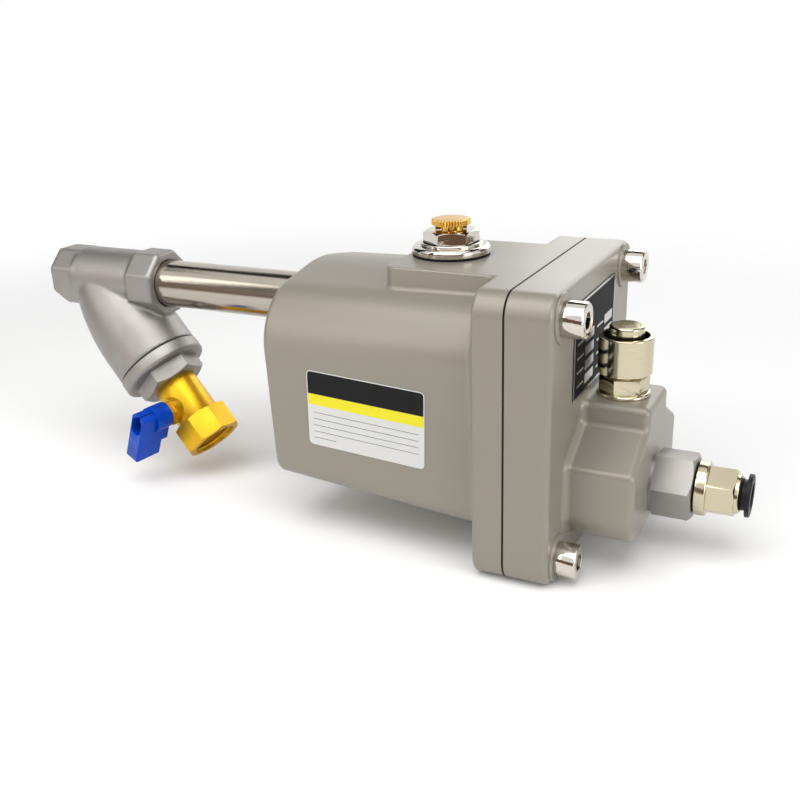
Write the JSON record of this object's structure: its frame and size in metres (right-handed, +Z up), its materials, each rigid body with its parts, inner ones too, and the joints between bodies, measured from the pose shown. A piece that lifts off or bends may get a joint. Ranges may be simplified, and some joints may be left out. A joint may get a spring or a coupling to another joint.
{
  "type": "automatic drain valve",
  "caption": "Float-operated automatic drain valve for compressed air: a Y-strainer with a small ball valve, a pipe nipple and a float chamber with a bolted cover, test button and tube fitting.",
  "frame": {"origin": "centre of the inlet port's face", "axes": "+X along the inlet pipe towards the outlet, +Z up, the ball valve's handle on the -Y side"},
  "size_m": [0.3239, 0.1034, 0.125],
  "materials": {
    "cast_stainless": "blasted casting",
    "stainless": "polished",
    "painted_grey": "warm grey satin paint on die-cast aluminium",
    "chrome_plate": "bright plated steel",
    "nickel_plate": "satin nickel plated",
    "yellow_brass": "satin",
    "brass": "turned",
    "blue_plastic": "glossy",
    "black_plastic": "matt",
    "black_rubber": "matt",
    "white_plastic": "matt",
    "spring_steel": "drawn",
    "plate_print": "printed plate",
    "label_print": "printed label"
  },
  "bodies": {
    "body": {"strainer_body": "cast_stainless", "strainer_cap": "cast_stainless", "outlet_adapter": "cast_stainless", "adapter_seal": "cast_stainless", "inlet_pipe": "stainless", "strainer_screen": "stainless", "pivot_pin": "stainless", "float_bracket": "stainless", "bracket_screws": "stainless", "housing": "painted_grey", "cover": "painted_grey", "cover_screws": "chrome_plate", "vent_plug": "chrome_plate", "button_base": "nickel_plate", "button_sleeve": "nickel_plate", "fitting_body": "nickel_plate", "valve_body": "yellow_brass", "valve_end": "yellow_brass", "stem_gland": "yellow_brass", "pilot_nozzle": "brass", "seat_insert": "brass", "cover_gasket": "black_rubber", "vent_seal": "black_rubber", "cap_gasket": "black_rubber", "fitting_seal": "black_rubber", "tube_seal": "black_rubber", "valve_seats": "white_plastic", "button_spring": "spring_steel", "return_spring": "spring_steel", "grab_ring": "spring_steel", "nameplate": "plate_print", "side_label": "label_print"},
    "handle": {"valve_ball": "yellow_brass", "valve_stem": "yellow_brass", "valve_handle": "blue_plastic", "handle_screw": "chrome_plate"},
    "vent": {"vent_screw": "brass"},
    "button": {"push_button": "nickel_plate", "button_stem": "brass"},
    "main_valve": {"piston": "brass", "piston_ring": "black_rubber", "valve_rod": "brass", "poppet_seal": "black_rubber"},
    "float": {"float_arm": "stainless", "float_ball": "stainless", "pilot_pad": "black_rubber"},
    "collar": {"release_collar": "black_plastic"}
  },
  "joints": [
    {"name": "handle_turn", "type": "hinge", "parent": "body", "child": "handle", "pos_m": [0.07124, -0.00876, -0.05528], "axis": [-0.1823, -0.983, -0.0225], "range_deg": [-22, 68]},
    {"name": "vent_turn", "type": "hinge", "parent": "body", "child": "vent", "pos_m": [0.2034, 0, 0.0366], "axis": [0, 0, 1], "range_deg": [0, 360]},
    {"name": "button_press", "type": "slide", "parent": "body", "child": "button", "axis": [0, 0, -1], "range_m": [0, 0.0015], "stiffness_N_per_m": 1500, "springref_m": -0.001, "deforming": ["button_spring"]},
    {"name": "main_valve_lift", "type": "slide", "parent": "body", "child": "main_valve", "axis": [0, 0, -1], "range_m": [0, 0.0015], "stiffness_N_per_m": 500, "springref_m": -0.001, "deforming": ["return_spring"]},
    {"name": "collar_slide", "type": "slide", "parent": "body", "child": "collar", "axis": [-1, 0, 0], "range_m": [0, 0.0015], "stiffness_N_per_m": 300, "springref_m": -0.0005},
    {"name": "float_swing", "type": "hinge", "parent": "body", "child": "float", "pos_m": [0.2461, 0, -0.026], "axis": [0, 1, 0], "range_deg": [0, 22]}
  ],
  "couplings": [
    {"joint": "main_valve_lift", "follows": "button_press", "ratio": 1}
  ]
}
